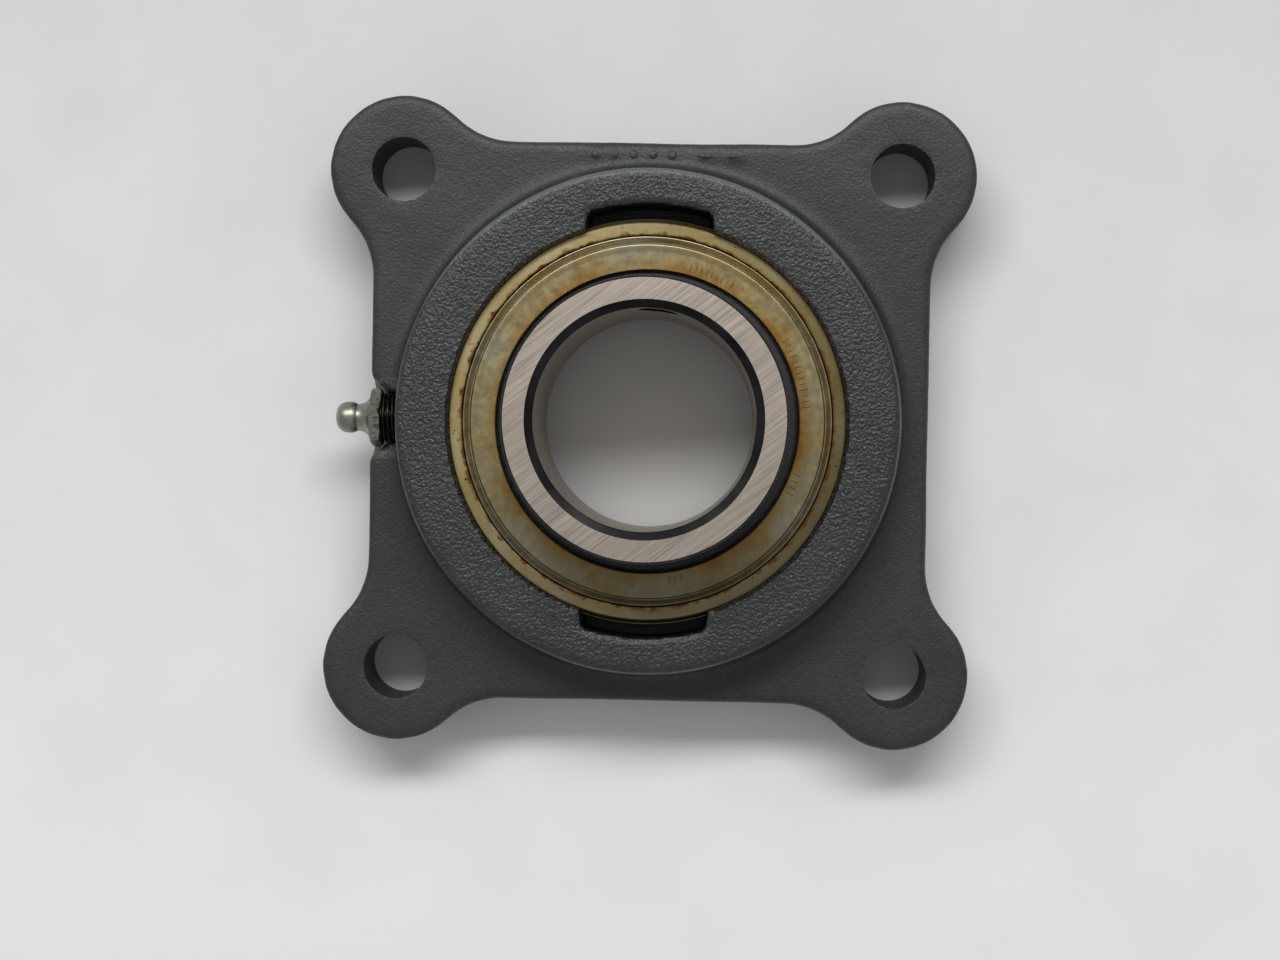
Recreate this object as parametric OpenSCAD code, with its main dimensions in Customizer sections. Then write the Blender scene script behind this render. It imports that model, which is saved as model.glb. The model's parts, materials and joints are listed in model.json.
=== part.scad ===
// Four-bolt flange bearing: a cast housing with a self-aligning ball bearing insert.
// Origin: on the bore axis at the mounting face. +Z points out of the front, along the shaft.

/* [Housing] */
// Distance between neighbouring bolt holes
bolt_spacing = 105; // [90:0.5:125]
// Diameter of the bolt holes
bolt_hole_d = 13.5; // [9:0.5:16]
// Radius of the round corner lugs
lug_r = 15.75; // [13:0.25:20]
// Radius of the hollow corner between a straight edge and a lug
edge_fillet_r = 17; // [10:1:22]
// Thickness of the flange
flange_t = 15.9; // [12:0.1:20]
// Wall between the spherical seat and the outside of the boss
boss_wall = 9.6; // [8:0.1:12]
// Height of the boss face above the bearing's centre
boss_rise = 13; // [11:0.5:16]
// Flat land between the boss and the flange's straight edges
flange_margin = 6.8; // [5:0.1:9]
// Height of the bearing's centre above the mounting face
centre_h = 15; // [13:0.1:18]

/* [Bearing insert] */
// Bore of the inner ring, for the shaft
bore_d = 44.45; // [38:0.05:52]
// Wall of the inner ring under its groove
inner_wall = 3.925; // [3.2:0.005:5]
// Height of the inner ring's shoulders above the bottom of its groove
inner_shoulder = 2.45; // [2:0.05:3]
// Length of the inner ring
inner_l = 41.4; // [35:0.1:50]
// Wall of the outer ring over its groove
outer_wall = 3.65; // [3:0.05:5]
// Height of the outer ring's shoulders above the bottom of its groove
outer_shoulder = 2.54; // [2:0.01:3]
// Number of balls
ball_count = 9; // [6:1:9]
// Diameter of the balls
ball_d = 12.7; // [10.5:0.1:15.3]
// Depth of each seal, from the ring's face to its inner cap
seal_depth = 3.4; // [3:0.1:4.2]

/* [Set screws] */
// Diameter of the two set screws
screw_d = 7.9; // [6.5:0.1:9.5]
// Length of the set screws
screw_l = 5.6; // [4.5:0.1:6.8]
// Distance of the set screws from the end of the inner ring
screw_inset = 7.3; // [6:0.1:9]
// Angle of the first set screw about the bore, from +X
screw_angle = -6; // [-90:1:90]
// Angle between the two set screws
screw_spread = 90; // [60:5:120]

/* [Grease fitting] */
// Width of the hexagon across its flats
fitting_af = 11.1; // [9:0.1:13]
// Diameter of the fitting's thread
fitting_thread_d = 10.2; // [8:0.1:11]
// Length of thread between the spot face and its inner end
fitting_thread_l = 8.3; // [6:0.1:9]
// Largest diameter of the fitting's head
fitting_head_d = 6.6; // [5.8:0.1:7.8]

/* [Hidden] */
$fn = 96;
eps = 0.01;            // how far a cut runs past the face it opens
over = 5;              // how far a cut reaches past the insert
far = 40;              // a length greater than the insert's
run_gap = 0.04;        // radial clearance of a ball in its grooves
seat_gap = 0.06;       // clearance between the outer ring and the housing seat
lip_gap = 0.05;        // clearance between a seal lip and the inner ring
thread_gap = 0.06;     // clearance round a set screw or the fitting's thread

bore_r = bore_d / 2;
ball_r = ball_d / 2;
pitch_r = bore_r + inner_wall + ball_r;
groove_r = ball_r * 1.04;
inner_r = bore_r + inner_wall + inner_shoulder;
outer_land_r = pitch_r + ball_r - outer_shoulder;
outer_r = pitch_r + ball_r + outer_wall;
ball_to_seal = 1.25;   // from the balls to the inner caps
half_w = ball_r + ball_to_seal + seal_depth;
seal_seat_r = outer_land_r + 2;
cap_t = 0.6;
shroud_rim = 1.6;      // from the ring's face to the underside of the shroud cap's rim
shroud_hollow = 1.85;  // and to the underside of its hollow
shroud_edge_r = inner_r + 2.7;
washer_t = (seal_depth - cap_t - shroud_hollow) / 2;
washer_rim = 1.6;      // from the seal seat in to the washer's edge
washer_gap = 0.05;     // between the washer and the inner cap
lip_foot = 2.9;        // from the inner ring to where the washer begins to rise to its lip
lip_crest = 1.9;       // and to where it has risen
curl_h = 0.5;          // height of that rise
inner_back = centre_h - half_w + 0.2;
inner_front = inner_back + inner_l;
ring_edge = 0.5;       // bevel on the inner ring's outer corners
bore_bevel = 1.6;      // bevel on the ends of the bore, measured across the face
bore_bevel_l = 1.0;    // and along the bore
groove_rise = 6.4;     // height of the grease groove over the bearing's centre
groove_w = 2.2;
groove_depth = 1.3;
grease_hole_r = 0.7;

cage_gap = 1.3;        // room between the cage and each ring's shoulders
cage_floor = 0.95;     // thickness of the cage behind its pockets
cage_front = 1.8;      // reach of the cage's claws past the ball centres
pocket_r = ball_r + 0.25;

hole_at = bolt_spacing / 2;
boss_r = outer_r + boss_wall;
boss_h = centre_h + boss_rise;
edge_at = boss_r + flange_margin;
boss_draft = 1.1;      // the boss is this much wider at the flange
boss_edge = 0.6;       // bevel round the boss face
base_fillet = 2;       // hollow between boss and flange
seat_r = outer_r + seat_gap;
mouth_bevel = 1.2;
slot_w = 2 * half_w + 2.3; // the outer ring passes through on edge
slot_flare = 1.5;      // extra half width of a slot at its inner end
slot_reach = outer_r + 2.1;
mark_h = 0.5;          // height of the casting marks
pip_d = 2;
pip_pitch = 4;
pip_x = -12;           // place of the first pip in its row
bar_size = [3.4, 1.3];
bar_pitch = 6;
bar_x = 11;            // place of the first bar
slot_root = outer_r - 6; // where a slot starts, inside the seat
pocket_w = 4;          // grease pocket in the seat
pocket_depth = 0.8;

screw_h = inner_front - screw_inset;
screw_hole_r = screw_d / 2 + thread_gap;
screw_tip_r = bore_r + 0.5; // distance of a screw's point from the axis, backed off the shaft
cup_h = 1.2;           // height of a set screw's cup point
cup_wall = 1.4;        // from its thread to the rim of the cup
screw_chamfer = 0.4;
socket_af = 4;
socket_depth = 2.8;

spot_x = edge_at - 2;      // the spot face, as a distance from the axis
spot_r = fitting_af / 2 / cos(30) + 1.35;
spot_draft = 1.3;          // the spot face's clearance is this much wider at its mouth
spot_l = 12;
thread_end = spot_x - fitting_thread_l;
thread_r = fitting_thread_d / 2;
sink = 2;                  // depth of the countersink round the thread
hex_t = 2.2;
hex_turn = 12;             // turn of the hexagon about the fitting's axis
flare_l = 3;               // from the hexagon to the head
head_l = 4.6;
hex_x0 = spot_x - 0.7;     // inner face of the hexagon
hex_x1 = hex_x0 + hex_t;
head_x0 = hex_x1 + flare_l;
head_x1 = head_x0 + head_l;
head_r = fitting_head_d / 2;
neck_r = head_r - 0.5;
passage_r = 1.6;           // drilled grease passage through the housing
check_r = 1.2;             // check ball
check_bore_r = 1.5;
orifice_r = 0.9;
orifice_l = 0.7;
check_gap = 0.03;
check_x = head_x1 - orifice_l - sqrt(check_r * check_r - orifice_r * orifice_r) - check_gap;
retainer_x0 = thread_end + 0.8;
retainer_t = 0.8;
spring_wire_r = 0.18;
spring_r = check_bore_r - 0.3 - spring_wire_r;
spring_turns = 9;
spring_sleeve = 0.1;       // thickness of the sleeve that joins the spring's rings

ball_names = [for (i = [1:ball_count]) str("ball_", i)];

// Places its children with their local +Z pointing outwards along -X at the fitting's height.
module at_fitting() {
    translate([0, 0, centre_h]) rotate([0, -90, 0]) children();
}

// Places its children at set screw number i, with their local +Z pointing outwards.
module at_screw(i) {
    translate([0, 0, screw_h]) rotate([0, 0, screw_angle + i * screw_spread])
        rotate([0, 90, 0]) children();
}

// Places its children in the back half of the bearing, mirrored about the centre plane.
module at_back() {
    translate([0, 0, 2 * centre_h]) mirror([0, 0, 1]) children();
}

module bolt_positions() {
    for (x = [-1, 1], y = [-1, 1]) translate([x * hole_at, y * hole_at, 0]) children();
}

// The blend between the straight edge at +Y and the lug at +X +Y.
module lug_blend() {
    rise = edge_at + edge_fillet_r - hole_at;
    reach = edge_fillet_r + lug_r;
    start_x = hole_at - sqrt(reach * reach - rise * rise);
    difference() {
        polygon([[start_x, hole_at - lug_r], [start_x, edge_at + edge_fillet_r],
                 [hole_at, hole_at], [hole_at, hole_at - lug_r]]);
        translate([start_x, edge_at + edge_fillet_r]) circle(edge_fillet_r);
    }
}

module flange_outline() {
    square(2 * edge_at, center = true);
    bolt_positions() circle(lug_r);
    for (x = [0, 1], y = [0, 1], swap = [0, 1])
        mirror([x, 0]) mirror([0, y]) mirror([swap, -swap]) lug_blend();
}

module boss() {
    base_r = boss_r + boss_draft;
    top = boss_h - boss_edge;
    rotate_extrude()
        difference() {
            polygon([[0, 1], [base_r + base_fillet, 1], [base_r + base_fillet, flange_t],
                     [base_r, flange_t + base_fillet], [boss_r, top],
                     [boss_r - boss_edge, boss_h], [0, boss_h]]);
            translate([base_r + base_fillet, flange_t + base_fillet]) circle(base_fillet);
        }
}

module loading_slot() {
    depth = boss_h - centre_h + eps;
    translate([0, 0, centre_h]) intersection() {
        cylinder(r = slot_reach, h = depth);
        linear_extrude(depth)
            polygon([[-slot_w / 2 - slot_flare, slot_root], [slot_w / 2 + slot_flare, slot_root],
                     [slot_w / 2, slot_reach + 1], [-slot_w / 2, slot_reach + 1]]);
    }
}

// Raised casting marks: a row of round pips and two bars.
module casting_marks() {
    row_y = (boss_r + boss_draft + edge_at) / 2;
    translate([0, row_y, flange_t - mark_h]) {
        for (i = [0:4]) translate([pip_x + i * pip_pitch, 0, 0]) cylinder(d = pip_d, h = 2 * mark_h);
        for (i = [0:1]) translate([bar_x + i * bar_pitch, 0, mark_h])
            cube([bar_size[0], bar_size[1], 2 * mark_h], center = true);
    }
}

module housing() {
    color("dimgray") difference() {
        union() {
            linear_extrude(flange_t) flange_outline();
            boss();
            casting_marks();
        }
        translate([0, 0, centre_h]) sphere(seat_r);
        mouth_r = sqrt(seat_r * seat_r - pow(boss_h - centre_h, 2));
        translate([0, 0, boss_h - mouth_bevel])
            cylinder(r1 = mouth_r, r2 = mouth_r + mouth_bevel + eps, h = mouth_bevel + eps);
        for (y = [0, 1]) mirror([0, y, 0]) loading_slot();
        bolt_positions() translate([0, 0, -1]) cylinder(d = bolt_hole_d, h = flange_t + 2);
        at_fitting() {
            translate([0, 0, spot_x]) cylinder(r1 = spot_r, r2 = spot_r + spot_draft, h = spot_l);
            translate([0, 0, spot_x - sink])
                cylinder(r1 = thread_r + thread_gap, r2 = thread_r + thread_gap + sink, h = sink + eps);
            translate([0, 0, thread_end]) cylinder(r = thread_r + thread_gap, h = fitting_thread_l + 1);
            translate([0, 0, outer_r - 1]) cylinder(r = passage_r, h = thread_end - outer_r + 2);
        }
        // grease pocket that links the drilled passage to the outer ring's groove
        translate([-seat_r - pocket_depth, -pocket_w / 2, centre_h - pocket_w / 2])
            cube([3, pocket_w, groove_rise + groove_w / 2 + pocket_w / 2]);
    }
}

module outer_ring() {
    color("darkgoldenrod") difference() {
        translate([0, 0, centre_h]) sphere(outer_r);
        for (z = [centre_h + half_w, centre_h - half_w - far])
            translate([0, 0, z]) cylinder(r = outer_r + over, h = far);
        translate([0, 0, centre_h - far / 2]) cylinder(r = outer_land_r, h = far);
        for (z = [centre_h + half_w - seal_depth, centre_h - half_w - far + seal_depth])
            translate([0, 0, z]) cylinder(r = seal_seat_r, h = far);
        translate([0, 0, centre_h]) rotate_extrude()
            translate([pitch_r + ball_r + run_gap - groove_r, 0]) circle(groove_r);
        // groove round the outside and two drilled holes, for grease
        translate([0, 0, centre_h + groove_rise - groove_w / 2]) difference() {
            cylinder(r = outer_r + over, h = groove_w);
            translate([0, 0, -1]) cylinder(r = outer_r - groove_depth, h = groove_w + 2);
        }
        for (side = [-1, 1]) translate([0, 0, centre_h + groove_rise]) rotate([0, side * 90, 0])
            translate([0, 0, outer_land_r - 2]) cylinder(r = grease_hole_r, h = outer_r);
    }
}

module inner_ring() {
    color("silver") difference() {
        rotate_extrude() difference() {
            polygon([[bore_r, inner_back + bore_bevel_l], [bore_r + bore_bevel, inner_back],
                     [inner_r - ring_edge, inner_back], [inner_r, inner_back + ring_edge],
                     [inner_r, inner_front - ring_edge], [inner_r - ring_edge, inner_front],
                     [bore_r + bore_bevel, inner_front], [bore_r, inner_front - bore_bevel_l]]);
            translate([pitch_r - ball_r - run_gap + groove_r, centre_h]) circle(groove_r);
        }
        for (i = [0, 1]) at_screw(i)
            translate([0, 0, bore_r - 3]) cylinder(r = screw_hole_r, h = inner_r);
    }
}

module ball_cage() {
    height = pocket_r + cage_floor + cage_front;
    color("ivory") difference() {
        translate([0, 0, centre_h + cage_front - height]) difference() {
            cylinder(r = outer_land_r - cage_gap, h = height);
            translate([0, 0, -1]) cylinder(r = inner_r + cage_gap, h = height + 2);
        }
        for (i = [0:ball_count - 1]) rotate([0, 0, i * 360 / ball_count])
            translate([pitch_r, 0, centre_h]) sphere(pocket_r);
    }
}

module ball(i) {
    color("gainsboro") rotate([0, 0, (i - 1) * 360 / ball_count])
        translate([pitch_r, 0, centre_h]) sphere(ball_r);
}

// The pressed steel cap seen from outside: rolled rim, hollow, ridge, flat and turned-in edge.
module shroud_cap() {
    face = half_w - 0.5;
    flat_end = shroud_edge_r - seal_seat_r;
    outline = [[0, -0.5], [-0.5, 0], [-0.9, -0.2], [-1.5, -0.75], [-2.1, -0.75], [-2.6, -0.1],
               [-3.0, 0.1], [-3.5, -0.2], [flat_end + 0.3, -0.2], [flat_end, -0.5]];
    count = len(outline);
    points = concat(outline, [for (i = [count - 1:-1:0]) outline[i] - [0, cap_t]]);
    color("darkkhaki") translate([0, 0, centre_h + face])
        rotate_extrude() translate([seal_seat_r, 0]) polygon(points);
}

// Flat rubber washer whose inner edge curls up to a lip on the inner ring.
module seal_washer() {
    lip_r = inner_r + lip_gap;
    rim_r = seal_seat_r - washer_rim;
    low = half_w - seal_depth + cap_t + washer_gap;
    top = low + washer_t;
    curl = top + curl_h;
    color("black") translate([0, 0, centre_h]) rotate_extrude()
        polygon([[rim_r, low], [rim_r, top], [inner_r + lip_foot, top],
                 [inner_r + lip_crest, curl], [lip_r + 0.35, curl], [lip_r, curl - 0.3],
                 [lip_r, low + 0.2], [lip_r + 0.5, low]]);
}

module inner_cap() {
    height = seal_depth - shroud_rim;
    color("darkkhaki") translate([0, 0, centre_h + half_w - seal_depth]) difference() {
        cylinder(r = seal_seat_r, h = height);
        translate([0, 0, -1]) cylinder(r = inner_r + 1.9, h = height + 2);
        translate([0, 0, cap_t]) cylinder(r = seal_seat_r - cap_t, h = height);
    }
}

module set_screw(i) {
    cup_r = screw_d / 2 - cup_wall;
    color("dimgray") at_screw(i) translate([0, 0, screw_tip_r]) difference() {
        rotate_extrude() polygon([[0, cup_h / 2], [cup_r - 0.6, cup_h / 3], [cup_r, 0],
                                  [screw_d / 2, cup_h], [screw_d / 2, screw_l - screw_chamfer],
                                  [screw_d / 2 - screw_chamfer, screw_l], [0, screw_l]]);
        translate([0, 0, screw_l - socket_depth])
            cylinder(d = socket_af / cos(30), h = socket_depth + 1, $fn = 6);
    }
}

module grease_fitting_body() {
    foot_r = neck_r + flare_l - 0.4;
    stem_x0 = thread_end + 0.2;
    color("lightgray") at_fitting() difference() {
        union() {
            translate([0, 0, stem_x0]) cylinder(r = thread_r, h = hex_x0 - stem_x0 + eps);
            translate([0, 0, hex_x0]) rotate([0, 0, hex_turn])
                cylinder(d = fitting_af / cos(30), h = hex_t, $fn = 6);
            rotate_extrude() difference() {
                polygon([[0, hex_x1 - eps], [foot_r, hex_x1 - eps], [foot_r, hex_x1],
                         [neck_r, head_x0], [head_r - 0.2, head_x0 + 0.5], [head_r, head_x0 + 1.3],
                         [head_r, head_x0 + 2.2], [head_r - 0.4, head_x1 - 0.9],
                         [head_r - 1.1, head_x1 - 0.1], [head_r - 1.5, head_x1], [0, head_x1]]);
                translate([neck_r + flare_l, head_x0]) circle(flare_l);
            }
        }
        translate([0, 0, thread_end])
            cylinder(r = check_bore_r, h = head_x1 - orifice_l - thread_end);
        translate([0, 0, head_x1 - 1]) cylinder(r = orifice_r, h = 2);
    }
}

module grease_fitting_ball() {
    color("gainsboro") at_fitting() translate([0, 0, check_x]) sphere(check_r);
}

// The spring is a row of wire rings joined by a thin sleeve. It presses on the check ball.
module grease_fitting_spring() {
    low = retainer_x0 + retainer_t + spring_wire_r;
    reach = sqrt(pow(check_r + spring_wire_r, 2) - spring_r * spring_r) + check_gap;
    length = check_x - reach - low;
    color("silver") at_fitting() translate([0, 0, low]) {
        for (i = [0:spring_turns]) translate([0, 0, i * length / spring_turns])
            rotate_extrude() translate([spring_r, 0]) circle(spring_wire_r, $fn = 24);
        difference() {
            cylinder(r = spring_r + spring_sleeve / 2, h = length);
            translate([0, 0, -1]) cylinder(r = spring_r - spring_sleeve / 2, h = length + 2);
        }
    }
}

module grease_fitting_retainer() {
    color("silver") at_fitting() translate([0, 0, retainer_x0]) difference() {
        cylinder(r = check_bore_r, h = retainer_t);
        translate([0, 0, -1]) cylinder(r = check_bore_r / 2, h = retainer_t + 2);
    }
}

housing();
outer_ring();
inner_ring();
ball_cage();
for (i = [1:ball_count]) ball(i);
shroud_cap();  // front_shroud_cap
seal_washer();  // front_seal_washer
inner_cap();  // front_inner_cap
at_back() shroud_cap();  // back_shroud_cap
at_back() seal_washer();  // back_seal_washer
at_back() inner_cap();  // back_inner_cap
set_screw(0);  // set_screw_1
set_screw(1);  // set_screw_2
grease_fitting_body();
grease_fitting_ball();
grease_fitting_spring();
grease_fitting_retainer();
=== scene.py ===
import json
import math

import bmesh
import bpy
import numpy as np
from mathutils import Matrix, Vector, noise


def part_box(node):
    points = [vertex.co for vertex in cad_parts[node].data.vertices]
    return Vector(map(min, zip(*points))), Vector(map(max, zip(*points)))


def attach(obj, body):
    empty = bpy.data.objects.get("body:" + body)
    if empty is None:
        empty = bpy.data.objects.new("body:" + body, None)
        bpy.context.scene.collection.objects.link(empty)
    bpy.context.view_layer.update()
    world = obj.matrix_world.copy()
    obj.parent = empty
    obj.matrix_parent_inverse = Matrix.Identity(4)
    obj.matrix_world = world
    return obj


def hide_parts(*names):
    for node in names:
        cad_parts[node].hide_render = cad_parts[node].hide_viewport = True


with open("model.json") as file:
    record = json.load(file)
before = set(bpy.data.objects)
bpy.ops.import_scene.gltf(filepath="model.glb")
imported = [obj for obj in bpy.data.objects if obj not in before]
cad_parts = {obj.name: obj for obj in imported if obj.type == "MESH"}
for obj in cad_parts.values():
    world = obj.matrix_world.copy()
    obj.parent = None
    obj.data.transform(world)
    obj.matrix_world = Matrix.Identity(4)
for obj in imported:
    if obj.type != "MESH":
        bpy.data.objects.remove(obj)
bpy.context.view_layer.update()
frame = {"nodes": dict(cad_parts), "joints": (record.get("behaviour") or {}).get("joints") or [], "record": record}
mm = 0.001

# Places that everything else is worked out from
mounts = {m["name"]: m for m in frame["record"]["mounts"]}
joints = {j["name"]: j for j in frame["joints"]}
centreHeight = joints["align_tilt"]["pos_m"][2]  # middle of the balls and of the round seat
boreRadius = mounts["shaft_bore"]["dims"]["r_mm"] * mm
boltRadius = mounts["mounting_bolts"]["dims"]["hole_r_mm"] * mm
boltReach = mounts["mounting_bolts"]["dims"]["spacing_x_mm"] * mm / 2
housingLow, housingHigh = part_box("housing")
ringLow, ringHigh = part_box("outer_ring")
innerLow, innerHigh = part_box("inner_ring")
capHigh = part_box("front_shroud_cap")[1]
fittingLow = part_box("grease_fitting_body")[0]
halfWidth = (ringHigh.z - ringLow.z) / 2
print("frame loaded:", len(frame["nodes"]), "nodes")


def hexLinear(text):
    channels = [int(text[i:i + 2], 16) / 255 for i in (1, 3, 5)]
    return (*[c / 12.92 if c <= 0.04045 else ((c + 0.055) / 1.055) ** 2.4 for c in channels], 1.0)


def addNode(tree, kind, inputs=None, stops=None, **settings):
    node = tree.nodes.new(kind)
    for key, value in settings.items():
        setattr(node, key, value)
    for key, value in (inputs or {}).items():
        if isinstance(value, bpy.types.NodeSocket):
            tree.links.new(value, node.inputs[key])
        else:
            node.inputs[key].default_value = value
    for index, (position, colour) in enumerate(stops or []):
        elements = node.color_ramp.elements
        element = elements[index] if index < len(elements) else elements.new(position)
        element.position = position
        element.color = hexLinear(colour)
    return node


def perMillimetre(size):  # texture scale that gives features of about this many millimetres
    return 1 / (size * mm)


def newMaterial(name, **values):
    material = bpy.data.materials.new(name)
    material.use_nodes = True
    tree = material.node_tree
    tree.nodes.clear()
    shader = addNode(tree, "ShaderNodeBsdfPrincipled", values)
    addNode(tree, "ShaderNodeOutputMaterial", {"Surface": shader.outputs["BSDF"]})
    place = addNode(tree, "ShaderNodeTexCoord").outputs["Object"]
    return material, tree, shader, place


def radiusFrom(tree, place, centre, flatten):  # distance from a turning axis, for turned rings
    moved = addNode(tree, "ShaderNodeVectorMath", {0: place, 1: centre}, operation="SUBTRACT")
    flat = addNode(tree, "ShaderNodeVectorMath", {0: moved.outputs[0], 1: flatten}, operation="MULTIPLY")
    return addNode(tree, "ShaderNodeVectorMath", {0: flat.outputs[0]}, operation="LENGTH").outputs["Value"]


def finishMesh(obj, body, slotName, nodes, material=None, sharp=32):
    if material is not None:
        obj.data.materials.clear()
        obj.data.materials.append(material)
    obj.data.shade_smooth()
    obj.data.set_sharp_from_angle(angle=math.radians(sharp))
    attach(obj, body)
    if nodes:
        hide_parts(*nodes)
    return obj


def meshObject(name, verts, faces):
    mesh = bpy.data.meshes.new(name)
    mesh.from_pydata([tuple(v) for v in verts], [], faces)
    obj = bpy.data.objects.new(name, mesh)
    bpy.context.scene.collection.objects.link(obj)
    return obj


def tidyMesh(obj, distance=1e-6):  # merges doubles and turns the faces outwards
    work = bmesh.new()
    work.from_mesh(obj.data)
    bmesh.ops.remove_doubles(work, verts=work.verts, dist=distance)
    bmesh.ops.recalc_face_normals(work, faces=work.faces)
    work.to_mesh(obj.data)
    work.free()


def bakeModifiers(obj):  # keeps the result of the modifiers as a plain mesh
    graph = bpy.context.evaluated_depsgraph_get()
    result = bpy.data.meshes.new_from_object(obj.evaluated_get(graph))
    obj.modifiers.clear()
    obj.data = result


def cutWith(obj, cutters, operation="DIFFERENCE"):
    for cutter in cutters:
        modifier = obj.modifiers.new("cut", "BOOLEAN")
        modifier.operation = operation
        modifier.solver = "EXACT"
        modifier.object = cutter
        bpy.context.view_layer.update()
        bakeModifiers(obj)
        bpy.data.objects.remove(cutter)


def rounded(points, steps=4):  # (x, y, radius) corners of a closed outline to points along its arcs
    out = []
    count = len(points)
    for i, (x, y, radius) in enumerate(points):
        corner = Vector((x, y))
        before = Vector(points[i - 1][:2]) - corner
        after = Vector(points[(i + 1) % count][:2]) - corner
        if radius <= 0 or before.length < 1e-9 or after.length < 1e-9:
            out.append((x, y))
            continue
        half = before.angle(after) / 2
        reach = min(radius / math.tan(half), before.length * 0.49, after.length * 0.49)
        start = corner + before.normalized() * reach
        end = corner + after.normalized() * reach
        for k in range(steps + 1):
            t = k / steps
            out.append(tuple((start * (1 - t) + corner * t) * (1 - t) + (corner * (1 - t) + end * t) * t))
    return out


def arcPoints(centre, radius, start, end, steps):
    angles = (math.radians(start + (end - start) * k / steps) for k in range(steps + 1))
    return [(centre[0] + radius * math.cos(a), centre[1] + radius * math.sin(a)) for a in angles]


def held(outline):  # adds a point close to each corner of a long line, so that its face is shaded flat
    points = []
    for k, (x, y) in enumerate(outline):
        nextX, nextY = outline[(k + 1) % len(outline)]
        points.append((x, y))
        length = math.hypot(nextX - x, nextY - y)
        if length > 1 and max(x, nextX) > 1e-6:
            for share in (0.12 / length, 1 - 0.12 / length):
                points.append((x + (nextX - x) * share, y + (nextY - y) * share))
    return points


# Turns a closed (radius, height) outline in millimetres
def lathe(name, outline, segments=192, place=None, finish=None):
    outline = held(outline)
    angles = np.linspace(0, 2 * math.pi, segments, endpoint=False)
    profile = np.array(outline) * mm
    verts = np.stack([np.outer(np.cos(angles), profile[:, 0]), np.outer(np.sin(angles), profile[:, 0]),
            np.outer(np.ones(segments), profile[:, 1])], axis=-1).reshape(-1, 3)
    count = len(outline)
    faces = []
    values = []
    for s in range(segments):
        here, there = s * count, (s + 1) % segments * count
        for k in range(count):
            n = (k + 1) % count
            if max(outline[k][0], outline[n][0]) < 1e-6:
                continue
            ring = (here + k, there + k, there + n, here + n)
            faces.append(ring)
            values.append(finish(outline[k], outline[n]) if finish else 0.0)
    obj = meshObject(name, verts, faces)
    if finish:
        obj.data.attributes.new("finish", "FLOAT", "FACE").data.foreach_set("value", values)
    tidyMesh(obj)
    obj.data.transform(place or Matrix.Translation((0, 0, centreHeight)))
    return obj


atFitting = Matrix.Translation((0, 0, centreHeight)) @ Matrix.Rotation(-math.pi / 2, 4, "Y")


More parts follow.
